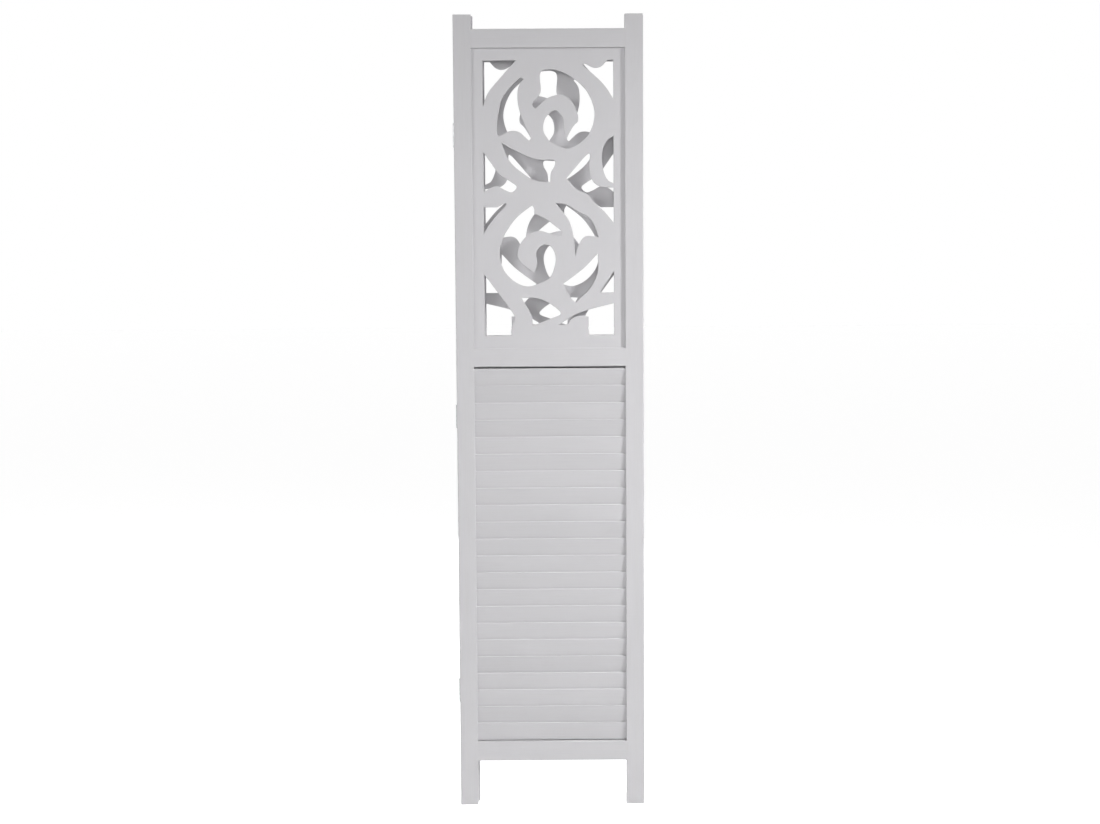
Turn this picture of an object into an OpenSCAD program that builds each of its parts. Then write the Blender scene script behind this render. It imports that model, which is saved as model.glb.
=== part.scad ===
// Two-panel folding screen in painted wood, stored folded flat with the backs together.
// Each panel has a pierced rose board above and a fixed louvre below, held in a dowelled frame.
// Millimetres. Origin on the floor in the middle of the folded stack, +X right, +Y back, +Z up.
// The pieces of a panel are drawn in its own frame, with its front face at y = 0, and then placed.

/* [Screen] */
// Height of a panel
panel_h = 1700; // [1500:10:1850]
// Width of a panel
panel_w = 400; // [360:5:480]
// Thickness of the frame timber
frame_t = 20; // [18:0.5:28]
// Space between the folded panels, which is also the hinge barrel's diameter
fold_gap = 5.5; // [5:0.1:7]
// How far the folded back panel stands to the right of the front one
fold_shift = 2.5; // [0:0.1:4]

/* [Frame] */
// Width of a stile
stile_w = 38; // [34:0.5:50]
// Height of the top and middle rails
rail_h = 39.5; // [36:0.5:52]
// Height of the bottom rail
foot_rail_h = 42.5; // [36:0.5:60]
// Floor to the bottom rail
leg_h = 97.5; // [60:0.5:160]
// Stile above the top rail
horn_h = 30; // [10:1:60]
// Easing on the outer long edges of a stile
edge_r = 1.5; // [1.3:0.1:3]
// Easing on the edges of the rails, and on the stiles inside the openings
inner_edge_r = 1; // [0.5:0.1:2]
// Diameter of a frame dowel
dowel_d = 8; // [6:0.5:8]
// Length of a frame dowel
dowel_l = 36; // [28:1:44]

/* [Louvre] */
// Height of the opening that the slats fill
louvre_h = 817.5; // [640:0.5:900]
// Number of slats in a panel
slat_count = 22; // [18:1:24]
// Thickness of a slat
slat_t = 4.5; // [3.5:0.1:5.5]
// Front face of the frame to the front edge of a slat
slat_setback = 2.5; // [2:0.1:5]

/* [Rose board] */
// Thickness of the pierced board
board_t = 6; // [4:0.2:7]
// Front face of the frame to the board
board_setback = 6; // [5:0.2:7]
// Plain edge of the board in view, at the sides
border = 24; // [16:0.5:40]
// Plain edge of the board in view, at the top
border_top = 25.5; // [16:0.5:40]
// Plain edge of the board in view, at the bottom
border_foot = 27; // [16:0.5:50]

/* [Hinges] */
// Height of a hinge
hinge_h = 50; // [46:1:70]
// Width of a hinge leaf from the pin's centre
leaf_w = 18; // [17:0.5:24]
// Thickness of a hinge leaf
leaf_t = 1.2; // [1:0.1:1.4]
// Diameter of a hinge pin
pin_d = 2.5; // [2:0.1:2.8]
// Floor to the lower hinge, and panel top to the upper one
hinge_end = 250; // [180:5:400]
// Length of a hinge screw
screw_l = 12; // [9:0.5:14]

/* [Hidden] */
$fn = 48;
PANELS = [1, 2];
LEFT = -1;
RIGHT = 1;

// Pieces that each panel has
panel_parts = ["left_stile", "right_stile", "top_rail", "middle_rail", "bottom_rail",
               "rose_board", "slats", "dowels", "hinge_screws"];
// Pieces that each hinge has
hinge_parts = ["fixed_leaf", "moving_leaf", "pin"];
hinge_levels = ["lower", "middle", "upper"];
function panel_node(p, part) = str("panel_", p, "_", part);
function hinge_node(level, part) = str("left_", level, "_hinge_", part);

// How far a cutting solid runs past the face that it cuts
through = 1;

// Clearances: a piece let into a groove, a dowel in its hole, a screw in its pilot hole
groove_play = 0.1;
dowel_play = 0.05;
screw_play = 0.05;
// A turning barrel round its pin, and between neighbouring barrels
pin_play = 0.05;
barrel_play = 0.3;

// Frame
opening_w = panel_w - 2 * stile_w;
groove_d = 5;
louvre_z = leg_h + foot_rail_h;
middle_z = louvre_z + louvre_h;
rose_z = middle_z + rail_h;
rose_h = panel_h - horn_h - rail_h - rose_z;
top_z = rose_z + rose_h;
rail_zs = [leg_h, middle_z, top_z];
rail_hs = [foot_rail_h, rail_h, rail_h];
// Stretches of a stile between the rails, as their feet and heads
bays = [[0, leg_h], [louvre_z, middle_z], [rose_z, top_z], [top_z + rail_h, panel_h]];
// Dowels keep this much wood between their holes and the board's groove
dowel_wall = 1.2;
// From a rail's upper and lower faces to the centres of its dowels
dowel_inset = groove_d + dowel_wall + dowel_d / 2;
dowel_end_play = 1;

// Louvre: slats lean so that each clears the one below it by the play
slat_end = 5;
slat_edge_r = 1.2;
slat_lap = 3.3;
slat_play = 0.3;
slat_head_gap = 3.4;
slat_foot_gap = 1.2;
slat_pitch = (louvre_h - slat_head_gap - slat_foot_gap - slat_lap) / slat_count;
slat_lean = asin((slat_t + slat_play) / slat_pitch);
slat_rise = slat_pitch + slat_lap;
slat_w = (slat_rise - slat_t * sin(slat_lean)) / cos(slat_lean);
slat_depth = slat_w * sin(slat_lean) + slat_t * cos(slat_lean);

// Folded stack: the back panel is turned about Z, so that the backs of the two meet
stack_d = 2 * frame_t + fold_gap;

// Hinges: the pin stands just outside the stiles, so that two panels open flat without rubbing
barrel_r = fold_gap / 2;
pin_out = 0.3;
pin_x = panel_w / 2 + pin_out;
hinge_zs = [hinge_end, panel_h / 2, panel_h - hinge_end];
barrel_count = 5;
barrel_h = hinge_h / barrel_count;
// A leaf stops this far short of the other leaf's barrels
notch_play = 0.4;
notch_x = barrel_r + notch_play;
pin_head_lip = 0.8;
pin_head_r = pin_d / 2 + pin_head_lip;
pin_head_h = 1;
// Screws: three to a leaf, the middle one farther from the pin
screw_d = 2.8;
screw_head_d = 5.6;
screw_tip = 3;
screw_tip_d = 0.6;
screw_near = 8.5;
screw_edge = 4.5;
screw_end = 7;
screw_rise = hinge_h / 2 - screw_end;
screw_spots = [[screw_near, -screw_rise], [leaf_w - screw_edge, 0], [screw_near, screw_rise]];

// Rose board
board_lap = groove_d - groove_play;
field_w = opening_w - 2 * border;
field_h = rose_h - border_top - border_foot;

// Openings of the rose board. Each is a closed run of strokes: a stroke of two points is straight,
// a longer one is a smooth curve through its points, and strokes meet in a corner. The points are
// measured from the pierced field's centre line and from its foot.
curve_steps = 5;

corner_top_left = [
    [[-138, 581], [-68, 581]],
    [[-68, 581], [-97, 549], [-126, 515], [-138, 486]],
    [[-138, 486], [-138, 581]]];
corner_top_right = [
    [[126, 581], [138, 581]],
    [[138, 581], [138, 500]],
    [[138, 500], [120, 527], [97, 550], [76, 568], [77, 574], [97, 565], [113, 568], [126, 581]]];
crescent_upper_left = [
    [[-52, 542], [-60, 544], [-80, 525], [-97, 502], [-105, 471], [-109, 441], [-105, 423],
     [-83, 433], [-62, 431], [-41, 413]],
    [[-41, 413], [-38, 421], [-53, 452], [-64, 491], [-63, 524], [-52, 542]]];
spiral_upper = [
    [[-27, 480], [-33, 491], [-16, 514], [-17, 550], [-8, 561], [18, 560], [52, 544], [83, 514],
     [98, 471], [88, 430], [63, 405], [36, 396], [3, 411]],
    [[3, 411], [-10, 433], [-6, 460], [14, 476], [30, 461], [33, 436], [37, 416]],
    [[37, 416], [52, 441], [64, 458], [54, 489], [32, 508], [1, 503], [-27, 480]]];
lens_right = [
    [[138, 422], [124, 411], [114, 388], [116, 353], [125, 330], [138, 322]],
    [[138, 322], [138, 422]]];
leaf_right = [
    [[38, 333], [60, 359], [80, 381], [88, 383], [86, 355], [94, 327], [112, 315], [138, 313]],
    [[138, 313], [138, 239]],
    [[138, 239], [116, 265], [93, 286], [84, 299], [60, 310], [38, 333]]];
crescent_middle = [
    [[-99, 408], [-70, 392], [-40, 378], [-12, 372], [11, 372], [13, 361], [5, 345], [3, 326]],
    [[3, 326], [-24, 328], [-54, 344], [-83, 371], [-99, 408]]];
hook_left = [
    [[-138, 389], [-122, 366], [-105, 343], [-84, 329], [-68, 316], [-78, 305], [-92, 309],
     [-110, 318], [-124, 314], [-138, 304]],
    [[-138, 304], [-138, 389]]];
triangle_left = [
    [[-138, 273], [-110, 273]],
    [[-110, 273], [-95, 280], [-91, 277], [-112, 255], [-130, 232], [-138, 218]],
    [[-138, 218], [-138, 273]]];
spiral_lower = [
    [[-35, 277], [-31, 268], [-31, 259]],
    [[-31, 259], [-4, 246], [28, 221]],
    [[28, 221], [26, 211]],
    [[26, 211], [0, 218], [-24, 223], [-46, 213], [-63, 191], [-65, 163], [-33, 133]],
    [[-33, 133], [-25, 152], [-27, 176], [-14, 192], [4, 189], [14, 163], [3, 126], [-22, 111],
     [-48, 105], [-76, 117], [-98, 143], [-105, 176], [-97, 209], [-77, 241], [-58, 260],
     [-35, 277]]];
leaf_middle_right = [
    [[15, 281], [36, 278], [62, 263], [90, 246], [106, 209]],
    [[106, 209], [80, 211], [66, 198], [55, 169]],
    [[55, 169], [53, 206], [43, 244], [15, 281]]];
crescent_lower_right = [
    [[104, 174], [74, 143], [30, 110]],
    [[30, 110], [41, 87], [56, 70]],
    [[56, 70], [86, 99], [103, 133], [104, 174]]];
triangle_right = [
    [[138, 136], [108, 91]],
    [[108, 91], [138, 91]]];
leaf_bottom = [
    [[-59, 80], [-28, 80], [2, 67], [24, 47], [3, 36], [-36, 21]],
    [[-36, 21], [-39, 44], [-59, 80]]];
corner_bottom_left = [
    [[-138, 130], [-110, 92], [-85, 58], [-74, 37], [-81, 19], [-83, 0]],
    [[-83, 0], [-138, 0]]];
corner_bottom_right = [
    [[19, 22], [46, 39], [64, 48], [101, 59], [138, 68]],
    [[138, 68], [138, 0]],
    [[83, 0], [84, 40]],
    [[84, 40], [62, 41], [48, 36], [38, 24], [19, 22]]];
rose_openings = [
    corner_top_left, corner_top_right, crescent_upper_left, spiral_upper, lens_right, leaf_right,
    crescent_middle, hook_left, triangle_left, spiral_lower, leaf_middle_right,
    crescent_lower_right, triangle_right, leaf_bottom, corner_bottom_left, corner_bottom_right];
// Width and height of the field that the points are drawn on, which its outermost points reach
drawn_points = [for (strokes = rose_openings) for (s = strokes) each s];
drawn_w = max([for (p = drawn_points) p[0]]) - min([for (p = drawn_points) p[0]]);
drawn_h = max([for (p = drawn_points) p[1]]);

// Point on the smooth curve through b and c, between its neighbours a and d
function curve_point(a, b, c, d, t) =
    0.5 * (2 * b + (c - a) * t + (2 * a - 5 * b + 4 * c - d) * t * t
           + (3 * b - a - 3 * c + d) * t * t * t);
// Point as far beyond b as b is from a
function beyond(a, b) = b + (b - a);
// A stroke's points. A curve leaves out its last one, which starts the next stroke.
function stroke_points(s) =
    len(s) == 2 ? s :
    [for (i = [0:len(s) - 2]) for (k = [0:curve_steps - 1])
        curve_point(i == 0 ? beyond(s[1], s[0]) : s[i - 1], s[i], s[i + 1],
                    i == len(s) - 2 ? beyond(s[i], s[i + 1]) : s[i + 2], k / curve_steps)];
function outline(strokes) = [for (s = strokes) each stroke_points(s)];
function on_field(p) = [p[0] * field_w / drawn_w, rose_z + border_foot + p[1] * field_h / drawn_h];

// Places a panel's pieces in the folded stack
module in_stack(p) {
    if (p == 1) translate([0, -stack_d / 2, 0]) children();
    else translate([fold_shift, stack_d / 2, 0]) rotate([0, 0, 180]) children();
}

// Puts a shape drawn for the right side on either side
module on_side(side) {
    if (side == RIGHT) children();
    else mirror([1, 0, 0]) children();
}

// Round bar along X, from x to x + l
module bar_x(x, y, z, d, l) {
    translate([x, y, z]) rotate([0, 90, 0]) cylinder(d = d, h = l);
}

// Centres of the dowels of one frame side, as heights
dowel_zs = [for (i = [0:len(rail_zs) - 1]) for (off = [dowel_inset, rail_hs[i] - dowel_inset])
    rail_zs[i] + off];

// What easing takes off a timber's section at its corner [x, y], where the section starts at [0, 0]
module eased_corner(x, y, r) {
    translate([x, y]) difference() {
        square(2 * r, center = true);
        translate([x == 0 ? r : -r, y == 0 ? r : -r]) circle(r = r);
    }
}

// Section of a slat, across the panel's depth and height, with its foot at height 0
module slat_section(play) {
    translate([slat_setback + slat_w * sin(slat_lean), 0]) rotate([0, 0, slat_lean]) {
        translate([-play, slat_edge_r]) square([slat_t + 2 * play, slat_w - 2 * slat_edge_r]);
        translate([slat_edge_r, -play]) square([slat_t - 2 * slat_edge_r, slat_w + 2 * play]);
        for (y = [slat_edge_r, slat_t - slat_edge_r]) for (z = [slat_edge_r, slat_w - slat_edge_r])
            translate([y, z]) circle(r = slat_edge_r + play);
    }
}

// One slat or its slot, from x, with its length along X
module slat_bar(i, x, l, play) {
    z = louvre_z + slat_foot_gap + i * slat_pitch;
    translate([x, 0, z]) rotate([90, 0, 90]) linear_extrude(l) slat_section(play);
}

// Section of a stile at the right side, from x = 0, with its outer corners eased
module stile_section() {
    difference() {
        square([stile_w, frame_t]);
        for (y = [0, frame_t]) eased_corner(stile_w, y, edge_r);
    }
}

// Right stile. pin_off is how far the hinge pins stand outside it, or undef where there are none.
module stile(pin_off) {
    difference() {
        translate([opening_w / 2, 0, 0]) linear_extrude(panel_h) stile_section();
        for (bay = bays) for (y = [0, frame_t])
            translate([opening_w / 2, 0, bay[0]]) linear_extrude(bay[1] - bay[0])
                eased_corner(0, y, inner_edge_r);
        translate([opening_w / 2 - through, board_setback - groove_play, rose_z - groove_d])
            cube([groove_d + through, board_t + 2 * groove_play, rose_h + 2 * groove_d]);
        for (i = [0:slat_count - 1])
            slat_bar(i, opening_w / 2 - through, slat_end + through + groove_play, groove_play);
        for (z = dowel_zs)
            bar_x(opening_w / 2 - through, frame_t / 2, z, dowel_d + 2 * dowel_play,
                  (dowel_l + dowel_end_play) / 2 + through);
        if (pin_off != undef) for (z = hinge_zs) for (s = screw_spots)
            translate([panel_w / 2 + pin_off - s[0], frame_t + through, z + s[1]])
                rotate([90, 0, 0]) cylinder(d = screw_d + 2 * screw_play, h = screw_l + through);
    }
}

// Side of each panel that the hinges are on, and how far outside its edge their pins stand
function hinge_side(p) = p == 1 ? LEFT : RIGHT;
function pin_off(p) = p == 1 ? pin_out : pin_out + fold_shift;

module left_stile(p) {
    color([0.85, 0.86, 0.87]) on_side(LEFT) stile(hinge_side(p) == LEFT ? pin_off(p) : undef);
}

module right_stile(p) {
    color([0.85, 0.86, 0.87]) on_side(RIGHT) stile(hinge_side(p) == RIGHT ? pin_off(p) : undef);
}

// Section of a rail of height h, across the panel's depth and height, with its corners eased
module rail_section(h) {
    difference() {
        square([frame_t, h]);
        for (y = [0, frame_t]) for (z = [0, h]) eased_corner(y, z, inner_edge_r);
    }
}

// Rail of height h at height z. groove_z is where the board's groove opens, or undef for a plain
// rail.
module rail(z, h, groove_z) {
    color([0.84, 0.85, 0.86]) difference() {
        translate([-opening_w / 2, 0, z]) rotate([90, 0, 90])
            linear_extrude(opening_w) rail_section(h);
        if (groove_z != undef)
            translate([-opening_w / 2 - through, board_setback - groove_play, groove_z - groove_d])
                cube([opening_w + 2 * through, board_t + 2 * groove_play, 2 * groove_d]);
        for (side = [LEFT, RIGHT]) on_side(side) for (off = [dowel_inset, h - dowel_inset])
            bar_x((opening_w - dowel_l - dowel_end_play) / 2, frame_t / 2, z + off,
                  dowel_d + 2 * dowel_play, dowel_l);
    }
}

module top_rail() { rail(top_z, rail_h, top_z); }
module middle_rail() { rail(middle_z, rail_h, rose_z); }
module bottom_rail() { rail(leg_h, foot_rail_h, undef); }

// Pierced board, which stands on the floor of the middle rail's groove
module rose_board() {
    color([0.82, 0.83, 0.84]) translate([0, board_setback + board_t, 0]) rotate([90, 0, 0])
        linear_extrude(board_t) difference() {
            translate([-opening_w / 2 - board_lap, rose_z - groove_d])
                square([opening_w + 2 * board_lap, rose_h + groove_d + board_lap]);
            for (strokes = rose_openings)
                polygon([for (p = outline(strokes)) on_field(p)]);
        }
}

// All the slats of a panel, each a piece of its own
module slats() {
    color([0.83, 0.84, 0.85]) for (i = [0:slat_count - 1])
        slat_bar(i, -opening_w / 2 - slat_end, opening_w + 2 * slat_end, 0);
}

// Dowels that join the rails to both stiles
module dowels() {
    color([0.80, 0.66, 0.47]) for (side = [LEFT, RIGHT]) on_side(side) for (z = dowel_zs)
        bar_x((opening_w - dowel_l) / 2, frame_t / 2, z, dowel_d, dowel_l);
}

// Countersunk screw pointing along -Z, with the top of its head at height 0
module screw() {
    translate([0, 0, -leaf_t]) cylinder(d1 = screw_d, d2 = screw_head_d, h = leaf_t);
    translate([0, 0, -screw_l + screw_tip]) cylinder(d = screw_d, h = screw_l - screw_tip - leaf_t);
    translate([0, 0, -screw_l]) cylinder(d1 = screw_tip_d, d2 = screw_d, h = screw_tip);
}

// Screws of the hinge leaves on one panel
module hinge_screws(p) {
    color("silver") on_side(hinge_side(p)) for (z = hinge_zs) for (s = screw_spots)
        translate([panel_w / 2 + pin_off(p) - s[0], frame_t + leaf_t, z + s[1]])
            rotate([-90, 0, 0]) screw();
}

// Hinge leaf on its pin's axis, lying towards -Y and reaching towards +X.
// parity is 0 for the leaf with the outer barrels and 1 for the one between them.
module leaf(parity) {
    difference() {
        union() {
            translate([notch_x, -barrel_r, -hinge_h / 2]) cube([leaf_w - notch_x, leaf_t, hinge_h]);
            for (k = [parity:2:barrel_count - 1]) {
                low = k == 0 ? 0 : barrel_play / 2;
                high = k == barrel_count - 1 ? 0 : barrel_play / 2;
                translate([0, 0, -hinge_h / 2 + k * barrel_h + low]) {
                    cylinder(r = barrel_r, h = barrel_h - low - high);
                    translate([0, -barrel_r, 0]) cube([leaf_w / 2, leaf_t, barrel_h - low - high]);
                }
            }
        }
        translate([0, 0, -hinge_h]) cylinder(d = pin_d + 2 * pin_play, h = 2 * hinge_h);
        for (s = screw_spots) translate([s[0], -barrel_r, s[1]]) rotate([-90, 0, 0]) {
            translate([0, 0, -through])
                cylinder(d = screw_d + 2 * screw_play, h = leaf_t + 2 * through);
            cylinder(d1 = screw_d + 2 * screw_play, d2 = screw_head_d + 2 * screw_play, h = leaf_t);
        }
    }
}

// Puts a hinge on the fold, at one of its three heights
module at_fold(level) {
    z = level == "lower" ? hinge_zs[0] : level == "middle" ? hinge_zs[1] : hinge_zs[2];
    translate([-pin_x, 0, z]) children();
}

// Leaf on the back of the front panel
module fixed_leaf() {
    color("silver") leaf(0);
}

// Leaf on the back panel, with its barrels between those of the other
module moving_leaf() {
    color("silver") mirror([0, 1, 0]) leaf(1);
}

// Pin with a head at each end, outside the end barrels
module pin() {
    color("silver") {
        translate([0, 0, -hinge_h / 2]) cylinder(d = pin_d, h = hinge_h);
        for (z = [-hinge_h / 2 - pin_head_h, hinge_h / 2])
            translate([0, 0, z]) cylinder(r = pin_head_r, h = pin_head_h);
    }
}

for (p = PANELS) in_stack(p) {
    left_stile(p);
    right_stile(p);
    top_rail();
    middle_rail();
    bottom_rail();
    rose_board();
    slats();
    dowels();
    hinge_screws(p);
}
for (level = hinge_levels) at_fold(level) {
    fixed_leaf();
    moving_leaf();
    pin();
}
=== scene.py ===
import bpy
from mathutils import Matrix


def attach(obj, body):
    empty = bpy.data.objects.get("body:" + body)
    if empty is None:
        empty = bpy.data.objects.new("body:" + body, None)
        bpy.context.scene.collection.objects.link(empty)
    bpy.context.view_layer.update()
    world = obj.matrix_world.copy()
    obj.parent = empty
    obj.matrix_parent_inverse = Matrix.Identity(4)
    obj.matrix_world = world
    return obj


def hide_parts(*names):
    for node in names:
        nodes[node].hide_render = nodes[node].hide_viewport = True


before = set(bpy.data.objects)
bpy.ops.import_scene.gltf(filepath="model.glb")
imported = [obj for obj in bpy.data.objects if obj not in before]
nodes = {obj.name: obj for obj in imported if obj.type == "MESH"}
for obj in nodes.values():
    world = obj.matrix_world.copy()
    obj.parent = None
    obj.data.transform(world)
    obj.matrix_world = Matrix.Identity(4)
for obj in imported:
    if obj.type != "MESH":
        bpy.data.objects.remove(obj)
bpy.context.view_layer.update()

import math
import random
import bmesh
import bpy
from mathutils import Matrix, Vector
from mathutils.geometry import tessellate_polygon

# The camera
# It stands in front of the screen's middle at chest height and looks slightly
# down, so the horns and the feet both keep a margin.

camera_place = Vector((-0.006, -3.6545, 1.167))
camera_down = math.radians(4.83)
camera_turn = math.radians(0.09)
camera_roll = math.radians(-0.38)
focal_pixels = 1700.0
photo_width = 1100.0
sensor_width = 36.0
nearest_seen, farthest_seen = 0.05, 100.0

looking = Vector((math.sin(camera_turn) * math.cos(camera_down),
                  math.cos(camera_turn) * math.cos(camera_down),
                  -math.sin(camera_down)))
level = Vector((math.cos(camera_turn), -math.sin(camera_turn), 0.0))
upward = level.cross(looking)
across = level * math.cos(camera_roll) + upward * math.sin(camera_roll)
above = upward * math.cos(camera_roll) - level * math.sin(camera_roll)

camera_data = bpy.data.cameras.new("photo_camera")
camera_data.sensor_width = sensor_width
camera_data.lens = camera_data.sensor_width * focal_pixels / photo_width
camera_data.clip_start, camera_data.clip_end = nearest_seen, farthest_seen
camera = bpy.data.objects.new("photo_camera", camera_data)
camera.matrix_world = (Matrix.Translation(camera_place)
                       @ Matrix((across, above, -looking)).transposed().to_4x4())
bpy.context.scene.collection.objects.link(camera)
bpy.context.scene.camera = camera
bpy.context.scene.view_settings.view_transform = "Standard"

# The room
# A white sweep of floor under white air. Both are drawn white to the camera,
# and the floor keeps the screen's own shadow.

white = (1, 1, 1, 1)
air_light = 0.15
air_drawn_white = 1.0
floor_reach = 30.0
floor_grey = (0.80, 0.80, 0.80, 1)
floor_drawn_white = 0.80


def bare_tree(holder):
    """The emptied node tree of a new material or world."""
    holder.use_nodes = True
    holder.node_tree.nodes.clear()
    return holder.node_tree


def lay(tree, kind, joined=None, **settings):
    """Lays a node in a tree. joined fills its sockets, with values or from other sockets."""
    made = tree.nodes.new(kind)
    for name, value in settings.items():
        setattr(made, name, value)
    for socket, value in (joined or {}).items():
        if isinstance(value, bpy.types.NodeSocket):
            tree.links.new(value, made.inputs[socket])
        else:
            made.inputs[socket].default_value = value
    return made


def work_out(tree, operation, a, b=0.0):
    return lay(tree, "ShaderNodeMath", {0: a, 1: b}, operation=operation).outputs[0]


def seen_directly(tree):
    """1 for what the camera sees straight or in a shine or through glass, else 0."""
    path = lay(tree, "ShaderNodeLightPath").outputs
    shine = work_out(tree, "MAXIMUM", path["Is Camera Ray"], path["Is Glossy Ray"])
    return work_out(tree, "MAXIMUM", shine, path["Is Transmission Ray"])


world = bpy.data.worlds.new("white_air")
bpy.context.scene.world = world
air = bare_tree(world)
lit_air = lay(air, "ShaderNodeBackground", {"Color": white, "Strength": air_light})
white_air = lay(air, "ShaderNodeBackground", {"Color": white, "Strength": air_drawn_white})
air_mix = lay(air, "ShaderNodeMixShader", {0: seen_directly(air), 1: lit_air.outputs[0],
                                           2: white_air.outputs[0]})
lay(air, "ShaderNodeOutputWorld", {"Surface": air_mix.outputs[0]})

floor_mesh = bpy.data.meshes.new("floor")
floor_mesh.from_pydata([(-floor_reach, -floor_reach, 0), (floor_reach, -floor_reach, 0),
                        (floor_reach, floor_reach, 0), (-floor_reach, floor_reach, 0)],
                       [], [(0, 1, 2, 3)])
floor = bpy.data.objects.new("floor", floor_mesh)
bpy.context.scene.collection.objects.link(floor)
floor_paper = bpy.data.materials.new("floor_paper")
paper = bare_tree(floor_paper)
matt = lay(paper, "ShaderNodeBsdfPrincipled", {"Base Color": floor_grey, "Roughness": 0.9})
glow = lay(paper, "ShaderNodeEmission", {
    "Color": white,
    "Strength": work_out(paper, "MULTIPLY", seen_directly(paper), floor_drawn_white)})
lit_paper = lay(paper, "ShaderNodeAddShader", {0: matt.outputs[0], 1: glow.outputs[0]})
lay(paper, "ShaderNodeOutputMaterial", {"Surface": lit_paper.outputs[0]})
floor_mesh.materials.append(floor_paper)

# The lamps
# A soft key high on the right edges the recesses and the tops of the slats. Fills
# stand left, in front and overhead. Two lamps light the back, and steel doesn't
# mirror them, because it would burn out.

screen_middle = (0, 0, 0.85)


def soft_lamp(name, place, aim, size, watts, spread=180, in_shine=True):
    lamp_data = bpy.data.lights.new(name, "AREA")
    lamp_data.shape = "RECTANGLE"
    lamp_data.size, lamp_data.size_y = size
    lamp_data.energy = watts
    lamp_data.spread = math.radians(spread)
    lamp = bpy.data.objects.new(name, lamp_data)
    lamp.location = place
    lamp.visible_camera = False
    lamp.visible_glossy = in_shine
    lamp.rotation_euler = (Vector(aim) - Vector(place)).to_track_quat("-Z", "Y").to_euler()
    bpy.context.scene.collection.objects.link(lamp)


soft_lamp("right_key", place=(2.25, -1.3, 2.1), aim=(0, 0, 0.4), size=(0.45, 0.45),
          watts=9.7, spread=70)
soft_lamp("left_fill", place=(-2.3, -2.08, 2.08), aim=(0, 0, 0.9), size=(0.9, 0.9), watts=25)
soft_lamp("front_fill", place=(0.2, -3.8, 1.6), aim=screen_middle, size=(1.6, 1.6), watts=22.5)
soft_lamp("overhead_fill", place=(0.2, -1.0, 2.6), aim=(0, 0, 0.2), size=(1.6, 0.4),
          watts=0.95, spread=60)
soft_lamp("back_lamp", place=(0.6, 3.2, 1.6), aim=screen_middle, size=(3.2, 3.0), watts=76,
          in_shine=False)
soft_lamp("back_overhead", place=(0.2, 1.2, 3.4), aim=screen_middle, size=(1.6, 0.8), watts=14,
          in_shine=False)

# Stiles
# Two uprights a panel, planed softwood from the floor to the horns, sprayed
# with a satin off-white. Their grain runs upright and just shows in the paint.

panels = (1, 2)
upright = (0, math.radians(90), 0)
log_by_stile, log_by_panel, log_depth = 1.7, (2.3, 0.4), 0.2
paint = (0.625, 0.618, 0.636, 1)
undercoat = (0.70, 0.68, 0.64, 1)
timber_edge = 0.0009


def new_group(name, inputs, outputs):
    """Starts a shared effect with its named inputs and outputs."""
    group = bpy.data.node_groups.new(name, "ShaderNodeTree")
    kinds = {"colour": "NodeSocketColor", "value": "NodeSocketFloat",
             "vector": "NodeSocketVector"}
    for socket, kind in inputs.items():
        group.interface.new_socket(socket, in_out="INPUT", socket_type=kinds[kind])
    for socket, kind in outputs.items():
        group.interface.new_socket(socket, in_out="OUTPUT", socket_type=kinds[kind])
    return group, group.nodes.new("NodeGroupInput").outputs, group.nodes.new("NodeGroupOutput")


def placed_group(tree, group, joined):
    return lay(tree, "ShaderNodeGroup", joined, node_tree=group).outputs


def stretch(tree, value, taken_range, given_range=(0.0, 1.0)):
    """Stretches a value from one range to another, and holds it inside that."""
    return lay(tree, "ShaderNodeMapRange", {
        "Value": value, "From Min": taken_range[0], "From Max": taken_range[1],
        "To Min": given_range[0], "To Max": given_range[1]}).outputs[0]


def mixed(tree, amount, a, b):
    return lay(tree, "ShaderNodeMix", {0: amount, 6: a, 7: b}, data_type="RGBA").outputs[2]


def noise(tree, where, scale, **sockets):
    """A noise from 0 to 1. sockets sets its Detail, Roughness or Distortion."""
    return lay(tree, "ShaderNodeTexNoise",
               {"Vector": where, "Scale": scale, **sockets}).outputs["Fac"]


def drawn_out(tree, where, by):
    """The place multiplied axis by axis, so that a noise is drawn out where by is small."""
    return lay(tree, "ShaderNodeVectorMath", {0: where, 1: by}, operation="MULTIPLY").outputs[0]


# Grain: fibres and rings drawn out along the first coordinate
fibre_stretch, fibre_band = (14.0, 700.0, 700.0), (0.42, 0.66)
ring_stretch, ring_band = (1.6, 26.0, 26.0), (0.30, 0.5)
ring_count, half_ring = 15.0, 0.5
grain_group, taken, given = new_group(
    "timber_grain", {"Vector": "vector"}, {"Fibres": "value", "Rings": "value"})
fibres = noise(grain_group, drawn_out(grain_group, taken["Vector"], fibre_stretch), 1.0,
               Detail=4.0, Roughness=0.6)
grain_group.links.new(stretch(grain_group, fibres, fibre_band), given.inputs["Fibres"])
figure = noise(grain_group, drawn_out(grain_group, taken["Vector"], ring_stretch), 1.0,
               Detail=1.5, Distortion=0.35)
rings = work_out(grain_group, "PINGPONG",
                 work_out(grain_group, "MULTIPLY", figure, ring_count), half_ring)
grain_group.links.new(stretch(grain_group, rings, ring_band), given.inputs["Rings"])

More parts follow.
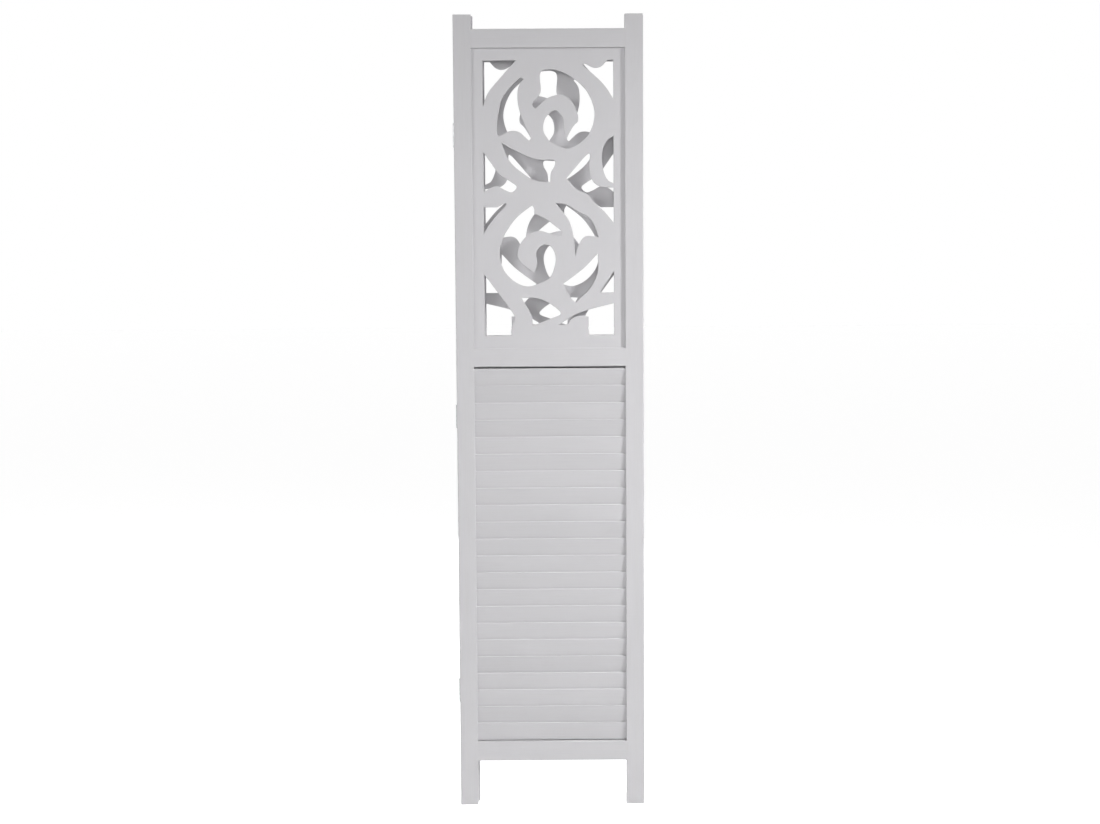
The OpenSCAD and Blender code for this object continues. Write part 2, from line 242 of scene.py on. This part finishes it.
# Edges: the eased normal, and a broken mask of the arrises that hands and floors rub
edge_cosines = (0.995, 0.86)
patch_scale, patch_band = 55.0, (0.40, 0.66)
edge_group, taken, given = new_group(
    "rubbed_edges", {"Vector": "vector", "Width": "value"},
    {"Mask": "value", "Normal": "vector"})
eased = lay(edge_group, "ShaderNodeBevel", {"Radius": taken["Width"]}, samples=6)
straight = lay(edge_group, "ShaderNodeNewGeometry")
facing = lay(edge_group, "ShaderNodeVectorMath",
             {0: eased.outputs[0], 1: straight.outputs["Normal"]}, operation="DOT_PRODUCT")
turned = stretch(edge_group, facing.outputs["Value"], edge_cosines)
patches = noise(edge_group, taken["Vector"], patch_scale, Detail=5.0, Roughness=0.65)
edge_group.links.new(work_out(edge_group, "MULTIPLY", turned,
                              stretch(edge_group, patches, patch_band)), given.inputs["Mask"])
edge_group.links.new(eased.outputs[0], given.inputs["Normal"])

# Paint: a sprayed satin film with a fine stipple, which sinks a little into the grain
grain_shade = (0.36, 0.34, 0.33, 1)
fibre_shade, ring_shade, rubbed_through = 0.05, 0.022, 0.55
cloud_scale, cloud_band, cloud_tones = 5.0, (0.3, 0.7), (0.985, 1.012)
cloud_sheens, stipple_sheen, rubbed_sheen = (0.40, 0.47), 0.10, 0.15
stipple_scale, nib_scale, nib_band = 900.0, 160.0, (0.10, 0.02)
fibre_height, ring_height, stipple_height, nib_height = -0.55, -0.25, 0.45, 0.35
paint_group, taken, given = new_group(
    "paint_film",
    {"Vector": "vector", "Paint": "colour", "Under": "colour", "Fibres": "value",
     "Rings": "value", "Rubbed": "value", "Tone": "value"},
    {"Colour": "colour", "Roughness": "value", "Height": "value"})


def in_paint(operation, a, b):
    return work_out(paint_group, operation, a, b)


cloud = noise(paint_group, taken["Vector"], cloud_scale, Detail=3.0)
stipple = noise(paint_group, taken["Vector"], stipple_scale, Detail=2.0)
nib_centres = lay(paint_group, "ShaderNodeTexVoronoi",
                  {"Vector": taken["Vector"], "Scale": nib_scale})
nibs = stretch(paint_group, nib_centres.outputs["Distance"], nib_band)
tone = in_paint("ADD", stretch(paint_group, cloud, cloud_band, cloud_tones), taken["Tone"])
toned = lay(paint_group, "ShaderNodeVectorMath", {0: taken["Paint"], "Scale": tone},
            operation="SCALE")
sunk = in_paint("ADD", in_paint("MULTIPLY", taken["Fibres"], fibre_shade),
                in_paint("MULTIPLY", taken["Rings"], ring_shade))
darkened = mixed(paint_group, sunk, toned.outputs[0], grain_shade)
rubbed = mixed(paint_group, in_paint("MULTIPLY", taken["Rubbed"], rubbed_through),
               darkened, taken["Under"])
paint_group.links.new(rubbed, given.inputs["Colour"])
sheen = in_paint("ADD", stretch(paint_group, cloud, cloud_band, cloud_sheens),
                 in_paint("MULTIPLY", stipple, stipple_sheen))
paint_group.links.new(in_paint("ADD", sheen, in_paint("MULTIPLY", taken["Rubbed"], rubbed_sheen)),
                      given.inputs["Roughness"])
hollows = in_paint("ADD", in_paint("MULTIPLY", taken["Fibres"], fibre_height),
                   in_paint("MULTIPLY", taken["Rings"], ring_height))
raised = in_paint("ADD", in_paint("MULTIPLY", stipple, stipple_height),
                  in_paint("MULTIPLY", nibs, nib_height))
paint_group.links.new(in_paint("ADD", hollows, raised), given.inputs["Height"])


def painted_timber(name, grain_turn, log_place, pile=None, fibre_share=1.0):
    """Painted wood whose grain runs the way that grain_turn turns the first axis to.

    log_place is where in the log its grain lies. For a pile of boards, pile holds the effect that
    tells them apart and paints shade on each, its values, and how far apart in the log they lie.
    """
    material = bpy.data.materials.new(name)
    tree = bare_tree(material)
    where = lay(tree, "ShaderNodeTexCoord").outputs["Object"]
    placed, tone = where, 0.0
    if pile:
        pile_effect, pile_values, log_reach = pile
        board = placed_group(tree, pile_effect, {"Vector": where, **pile_values})
        placed = lay(tree, "ShaderNodeVectorMath", {0: board["Lot"], 1: log_reach, 2: where},
                     operation="MULTIPLY_ADD").outputs[0]
        tone = board["Tone"]
    along = lay(tree, "ShaderNodeMapping", {"Vector": placed, "Location": log_place,
                "Rotation": grain_turn}, vector_type="POINT").outputs[0]
    grain = placed_group(tree, grain_group, {"Vector": along})
    edges = placed_group(tree, edge_group, {"Vector": where, "Width": timber_edge})
    film = placed_group(tree, paint_group, {
        "Vector": along, "Paint": paint, "Under": undercoat,
        "Fibres": work_out(tree, "MULTIPLY", grain["Fibres"], fibre_share),
        "Rings": work_out(tree, "MULTIPLY", grain["Rings"], fibre_share),
        "Rubbed": edges["Mask"], "Tone": tone})
    relief = lay(tree, "ShaderNodeBump", {"Height": film["Height"], "Normal": edges["Normal"],
                 "Strength": 0.35, "Distance": 0.0002})
    coat = lay(tree, "ShaderNodeBsdfPrincipled", {
        "Base Color": film["Colour"], "Roughness": film["Roughness"],
        "Normal": relief.outputs[0], "IOR": 1.46, "Specular IOR Level": 0.4})
    lay(tree, "ShaderNodeOutputMaterial", {"Surface": coat.outputs[0]})
    return material


def dress(node, material):
    """Gives a CAD piece its finish."""
    mesh = nodes[node].data
    mesh.materials.clear()
    mesh.materials.append(material)


for p in panels:
    for k, side in enumerate(("left", "right")):
        name = f"panel_{p}_{side}_stile"
        log_place = (log_by_stile * k + log_by_panel[0] * p, log_by_panel[1] * p, log_depth)
        dress(name, painted_timber(name, upright, log_place))

# Rails
# Three crosspieces a panel, butted between the stiles on dowels and sprayed
# with them, so that only a hair line shows at each joint.

lengthwise = (0, 0, 0)
rail_log_by_panel, rail_log_by_rail = 1.3, (0.7, 0.5)

for p in panels:
    for k, part in enumerate(("top_rail", "middle_rail", "bottom_rail")):
        name = f"panel_{p}_{part}"
        log_place = (rail_log_by_panel * p, rail_log_by_rail[0] * k, rail_log_by_rail[1] * k)
        dress(name, painted_timber(name, lengthwise, log_place))

# Rose boards
# A thin board sawn into scrolls and let into grooves in the frame. Its outline is
# taken from the CAD board and smoothed, and the sawn edges are sanded round.

corner_turn = math.radians(30)
quarter_turn = math.radians(90)
even_length = 3.0
smooth_steps = 3
board_ease = 0.0006
ease_steps = 3
corner_reach = 0.5
joined_gap = 1e-6
flat_normal = 0.9
board_log = (0.9, 0.1, 0.3)
board_fibres = 0.35


def opened(node):
    """A working copy of a CAD piece's mesh, with its corners joined."""
    work = bmesh.new()
    work.from_mesh(nodes[node].data)
    bmesh.ops.remove_doubles(work, verts=work.verts, dist=joined_gap)
    return work


def stand_in(work, name, node, material, body):
    """Turns a working mesh into the piece that replaces a CAD piece."""
    mesh = bpy.data.meshes.new(name)
    work.to_mesh(mesh)
    work.free()
    mesh.materials.append(material)
    piece = bpy.data.objects.new(name, mesh)
    bpy.context.scene.collection.objects.link(piece)
    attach(piece, body)
    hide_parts(node)


def rim_loops(work, face_y):
    """Outlines of the flat face at face_y, as loops of points across and up."""
    tied = {}
    for edge in work.edges:
        flat = [face for face in edge.link_faces if abs(face.normal.y) > flat_normal]
        if len(flat) == 1 and all(abs(v.co.y - face_y) < joined_gap for v in edge.verts):
            for here, there in (edge.verts, reversed(edge.verts)):
                tied.setdefault(here, []).append(there)
    loops, passed = [], set()
    for start in tied:
        loop, here = [], start
        while here is not None and here not in passed:
            passed.add(here)
            loop.append(Vector((here.co.x, here.co.z)))
            here = next((v for v in tied[here] if v not in passed), None)
        if loop:
            loops.append(loop)
    return loops


def enclosed(loop):
    """Area inside a loop, above 0 where it runs anticlockwise."""
    return sum(a.cross(b) for a, b in zip(loop, loop[1:] + loop[:1])) / 2


def is_corner(before, here, after):
    come, go = here - before, after - here
    uneven = max(come.length, go.length) > even_length * min(come.length, go.length)
    return uneven or come.angle(go) > corner_turn


def smoothed(loop):
    """The loop with more points on its curves, and its corners kept."""
    count = len(loop)
    cornered = [is_corner(loop[i - 1], loop[i], loop[(i + 1) % count]) for i in range(count)]
    fine = []
    for i in range(count):
        b, c = loop[i], loop[(i + 1) % count]
        fine.append(b)
        if cornered[i] and cornered[(i + 1) % count]:
            continue
        a = b - (c - b) if cornered[i] else loop[i - 1]
        d = c + (c - b) if cornered[(i + 1) % count] else loop[(i + 2) % count]
        for k in range(1, smooth_steps):
            t = k / smooth_steps
            fine.append(0.5 * (2 * b + (c - a) * t + (2 * a - 5 * b + 4 * c - d) * t * t
                               + (3 * b - a - 3 * c + d) * t * t * t))
    return fine


def inward(loop):
    """For each point, the way into the wood on the loop's left, stretched at corners."""
    ways = []
    for before, here, after in zip(loop[-1:] + loop[:-1], loop, loop[1:] + loop[:1]):
        sides = [Vector((-way.y, way.x)) for way in ((here - before).normalized(),
                                                     (after - here).normalized())]
        ways.append((sides[0] + sides[1]) / max(corner_reach, 1 + sides[0].dot(sides[1])))
    return ways


def cover(work, rings):
    """Fills the flat face between rings of points, the outer one first."""
    corners = [[Vector((v.co.x, v.co.z, 0)) for v in ring] for ring in rings]
    flat = [v for ring in rings for v in ring]
    for triangle in tessellate_polygon(corners):
        work.faces.new([flat[k] for k in triangle])


def skin(work, upper, lower, smooth):
    """Joins two rings of points with a band of faces."""
    for k in range(len(upper)):
        work.faces.new((upper[k - 1], upper[k], lower[k], lower[k - 1])).smooth = smooth


def eased_board(node):
    """A board with the outline of the CAD board, its curves smooth and its edges eased."""
    work = opened(node)
    near = min(v.co.y for v in work.verts)
    far = max(v.co.y for v in work.verts)
    loops = sorted((smoothed(loop) for loop in rim_loops(work, near)),
                   key=lambda loop: -abs(enclosed(loop)))
    loops = [loop if (enclosed(loop) > 0) == (k == 0) else loop[::-1]
             for k, loop in enumerate(loops)]
    work.free()

    board = bmesh.new()
    steps = [quarter_turn * k / ease_steps for k in range(ease_steps + 1)]
    levels = ([(1 - math.sin(turn), near + board_ease * (1 - math.cos(turn))) for turn in steps]
              + [(1 - math.sin(turn), far - board_ease * (1 - math.cos(turn)))
                 for turn in reversed(steps)])
    layers = [[] for level in levels]
    for loop in loops:
        ways = inward(loop)
        rings = [[board.verts.new((p.x + way.x * board_ease * share, y,
                                   p.y + way.y * board_ease * share))
                  for p, way in zip(loop, ways)] for share, y in levels]
        for ring, layer in zip(rings, layers):
            layer.append(ring)
        for upper, lower in zip(rings, rings[1:]):
            skin(board, upper, lower, True)
    cover(board, layers[0])
    cover(board, layers[-1])
    bmesh.ops.recalc_face_normals(board, faces=board.faces)
    for edge in board.edges:
        edge.smooth = edge.calc_face_angle(0) < corner_turn and len(
            {face.smooth for face in edge.link_faces}) == 1
    return board


for p in panels:
    node = f"panel_{p}_rose_board"
    finish = painted_timber(node, upright, (board_log[0] * p, board_log[1], board_log[2]),
                            fibre_share=board_fibres)
    stand_in(eased_board(node), f"panel_{p}_pierced_board", node, finish, f"panel_{p}")

# Slats
# Twenty-two thin louvre slats a panel, leaning with the top edge forward, in slots in
# the stiles. Each is a board of its own: it sits, bows and took the paint a little
# differently, and painted shade darkens its foot behind the slat below.

panel_front = 0.02275
slat_step = 0.0048
slat_pitch = 0.0368
slat_foot = Vector((0.0, 0.0077, 0.1412))
lean = math.asin(slat_step / slat_pitch)
half_slat = 0.167
most_bow, most_lift = 0.00012, 0.00008
broad_face = 0.001
top_slat_extra = 0.002
slat_log, slat_log_reach = 0.6, (3.0, 3.0, 3.0)

# Pile: a colour by lot and a tone for each slat, counted across the leaning pile, and
# painted shade that goes by the height above the slat's foot, where 1 is the next slat's foot
slat_tones = (-0.030, 0.022)
# Painted shade and light: each slat lighter at its top and darker at its foot, behind the slat
# below, and darkest just above that slat's edge
painted_shading_heights, painted_shading_tones = (0.1, 1.0), (-0.013, 0.010)
painted_foot_shade_heights, painted_foot_shade_tones = (0.07, 0.26), (-0.024, 0.0)
pile_group, taken, given = new_group(
    "slat_pile",
    {"Vector": "vector", "Across": "vector", "Start": "value", "Step": "value",
     "Upslope": "vector", "Foot": "value", "Rise": "value"},
    {"Lot": "colour", "Tone": "value"})


def steps_along(way, start, step):
    """How many steps along a way a place lies past its start."""
    reached = lay(pile_group, "ShaderNodeVectorMath", {0: taken["Vector"], 1: taken[way]},
                  operation="DOT_PRODUCT").outputs["Value"]
    return work_out(pile_group, "DIVIDE",
                    work_out(pile_group, "SUBTRACT", reached, taken[start]), taken[step])


slat_number = work_out(pile_group, "FLOOR", steps_along("Across", "Start", "Step"))
lot = lay(pile_group, "ShaderNodeTexWhiteNoise", {"W": slat_number}, noise_dimensions="1D")
pile_group.links.new(lot.outputs["Color"], given.inputs["Lot"])
slat_tone = stretch(pile_group, lot.outputs["Value"], (0.0, 1.0), slat_tones)
height = work_out(pile_group, "SUBTRACT", steps_along("Upslope", "Foot", "Rise"), slat_number)
# The painted shade of each slat, by its height above its foot, added to its tone
painted_slat_shading = work_out(pile_group, "ADD", stretch(pile_group, height, painted_shading_heights, painted_shading_tones),
                stretch(pile_group, height, painted_foot_shade_heights, painted_foot_shade_tones))
pile_group.links.new(work_out(pile_group, "ADD", slat_tone, painted_slat_shading), given.inputs["Tone"])


def loose_parts(work):
    """The corners of each loose part of a mesh."""
    parts, passed = [], set()
    for seed in work.verts:
        if seed in passed:
            continue
        passed.add(seed)
        waiting, part = [seed], []
        while waiting:
            here = waiting.pop()
            part.append(here)
            for there in (edge.other_vert(here) for edge in here.link_edges):
                if there not in passed:
                    passed.add(there)
                    waiting.append(there)
        parts.append(part)
    return parts


for p, back in ((1, 1), (2, -1)):
    node = f"panel_{p}_slats"
    upslope = Vector((0.0, -back * math.sin(lean), math.cos(lean)))
    chance = random.Random(p)
    work = opened(node)
    boards = sorted(loose_parts(work), key=lambda board: min(v.co.z for v in board))
    for board in boards:
        bow = chance.uniform(-most_bow, most_bow)
        lift = chance.uniform(-most_lift, most_lift)
        for v in board:
            v.co.y += bow * (1 - (v.co.x / half_slat) ** 2)
            v.co.z += lift
    if p == 2:
        middle = sum(v.co.z for v in boards[-1]) / len(boards[-1])
        for v in boards[-1]:
            if v.co.z > middle:
                v.co += upslope * top_slat_extra
    for face in work.faces:
        face.smooth = True
    for edge in work.edges:
        broad = {face.calc_area() > broad_face for face in edge.link_faces}
        edge.smooth = len(broad) == 1 and edge.calc_face_angle(0) < corner_turn
    through = Vector((0.0, back * math.cos(lean), math.sin(lean)))
    foot = Vector((0.0, back * (slat_foot.y - panel_front), slat_foot.z))
    pile_values = {"Across": through, "Start": foot.dot(through) - most_bow, "Step": slat_step,
                   "Upslope": upslope, "Foot": foot.dot(upslope),
                   "Rise": slat_pitch * math.cos(lean)}
    finish = painted_timber(node, lengthwise, (slat_log * p, 0.0, 0.0),
                            pile=(pile_group, pile_values, slat_log_reach))
    stand_in(work, f"panel_{p}_louvre", node, finish, f"panel_{p}")

# Dowels
# Fluted beech pins glued into the ends of the rails. They stay bare, because
# they never show once the frame is together.

beech_light = (0.62, 0.44, 0.27, 1)
beech_dark = (0.50, 0.33, 0.19, 1)
beech_fleck, fleck_share = (0.33, 0.20, 0.11, 1), 0.4
beech_roughness = (0.55, 0.75)

dowel_beech = bpy.data.materials.new("dowel_beech")
tree = bare_tree(dowel_beech)
where = lay(tree, "ShaderNodeTexCoord").outputs["Object"]
grain = placed_group(tree, grain_group, {"Vector": where})
beech = mixed(tree, grain["Rings"], beech_light, beech_dark)
flecked = mixed(tree, work_out(tree, "MULTIPLY", grain["Fibres"], fleck_share), beech,
                beech_fleck)
relief = lay(tree, "ShaderNodeBump", {"Height": grain["Fibres"], "Strength": 0.4,
             "Distance": 0.0002})
wood = lay(tree, "ShaderNodeBsdfPrincipled", {
    "Base Color": flecked, "Normal": relief.outputs[0],
    "Roughness": stretch(tree, grain["Fibres"], (0.0, 1.0), beech_roughness)})
lay(tree, "ShaderNodeOutputMaterial", {"Surface": wood.outputs[0]})
for p in panels:
    dress(f"panel_{p}_dowels", dowel_beech)

# Hinges
# Pressed butt hinges in zinc-plated steel, three to a fold: two leaves rolled
# round a pin, and three countersunk screws in each leaf.

zinc_light = (0.56, 0.57, 0.58, 1)
zinc_dark = (0.43, 0.44, 0.45, 1)
zinc_worn = (0.70, 0.70, 0.69, 1)
bloom_scale, bloom_band = 140.0, (0.35, 0.7)
sheen_band, zinc_roughness = (0.3, 0.7), (0.30, 0.46)
rolled_stretch = (2600.0, 2600.0, 60.0)
leaf_edge = 0.0003

hinge_zinc = bpy.data.materials.new("hinge_zinc")
tree = bare_tree(hinge_zinc)
where = lay(tree, "ShaderNodeTexCoord").outputs["Object"]
edges = placed_group(tree, edge_group, {"Vector": where, "Width": leaf_edge})
rolled_lines = noise(tree, drawn_out(tree, where, rolled_stretch), 1.0, Detail=3.0)
bloom = noise(tree, where, bloom_scale, Detail=4.0)
plate = mixed(tree, stretch(tree, bloom, bloom_band), zinc_light, zinc_dark)
bright = mixed(tree, edges["Mask"], plate, zinc_worn)
relief = lay(tree, "ShaderNodeBump", {"Height": rolled_lines, "Normal": edges["Normal"],
             "Strength": 0.25, "Distance": 0.00005})
steel = lay(tree, "ShaderNodeBsdfPrincipled", {
    "Base Color": bright, "Metallic": 1.0, "Normal": relief.outputs[0],
    "Roughness": stretch(tree, bloom, sheen_band, zinc_roughness)})
lay(tree, "ShaderNodeOutputMaterial", {"Surface": steel.outputs[0]})
for hinge_height in ("lower", "middle", "upper"):
    for part in ("fixed_leaf", "moving_leaf", "pin"):
        dress(f"left_{hinge_height}_hinge_{part}", hinge_zinc)

# Hinge screws
# Nine countersunk screws a panel, zinc plated like the hinges. Each is turned
# in by hand, so the crosses in the heads stand at different angles.

head_r, shank_r, tip_r = 0.0028, 0.0014, 0.0003
head_h, tip_h = 0.0012, 0.003
rim_ease, rim_drop = 0.0001, 0.00008
arm_l, arm_half, arm_floor = 0.0015, 0.00035, 0.0007
arm_taper, half_taper = 0.6, 0.7
round_steps = 32
full_turn = math.radians(360)
golden_turn = math.radians(137.5)


def turned_ring(radius, depth):
    return [(radius * math.cos(turn), radius * math.sin(turn), depth)
            for turn in (full_turn * k / round_steps for k in range(round_steps))]


def cross_ring(reach, half, depth):
    quarter = [(reach, -half), (reach, half), (half, half)]
    return [(x * math.cos(turn) - y * math.sin(turn), x * math.sin(turn) + y * math.cos(turn),
             depth) for turn in (quarter_turn * k for k in range(4)) for x, y in quarter]


def add_screw(work, centre, head_y, length, turn):
    """Adds a screw whose head lies flat at head_y and whose shank runs away from y = 0."""
    inwards = math.copysign(1.0, head_y)

    def ring_of(points):
        spun = ((x * math.cos(turn) - y * math.sin(turn),
                 x * math.sin(turn) + y * math.cos(turn), depth) for x, y, depth in points)
        return [work.verts.new((centre.x + x, head_y + inwards * depth, centre.z + y))
                for x, y, depth in spun]

    rim = ring_of(turned_ring(head_r - rim_ease, 0.0))
    mouth = ring_of(cross_ring(arm_l, arm_half, 0.0))
    base = ring_of(cross_ring(arm_l * arm_taper, arm_half * half_taper, arm_floor))
    rings = [rim] + [ring_of(turned_ring(r, d)) for r, d in (
        (head_r, rim_drop), (shank_r, head_h), (shank_r, length - tip_h), (tip_r, length))]
    for upper, lower in zip(rings, rings[1:]):
        skin(work, upper, lower, True)
    skin(work, mouth, base, False)
    work.faces.new(base)
    work.faces.new(rings[-1])
    cover(work, (rim, mouth))


for p in panels:
    node = f"panel_{p}_hinge_screws"
    plain = opened(node)
    work = bmesh.new()
    for k, part in enumerate(loose_parts(plain)):
        low_corner, high_corner = (Vector(pick(v.co[axis] for v in part) for axis in range(3))
                                   for pick in (min, max))
        ends = sorted((low_corner.y, high_corner.y), key=abs)
        add_screw(work, (low_corner + high_corner) / 2, ends[0], abs(ends[1] - ends[0]),
                  golden_turn * k)
    plain.free()
    bmesh.ops.recalc_face_normals(work, faces=work.faces)
    for edge in work.edges:
        edge.smooth = edge.calc_face_angle(0) < corner_turn
    stand_in(work, f"panel_{p}_crosshead_screws", node, hinge_zinc, f"panel_{p}")
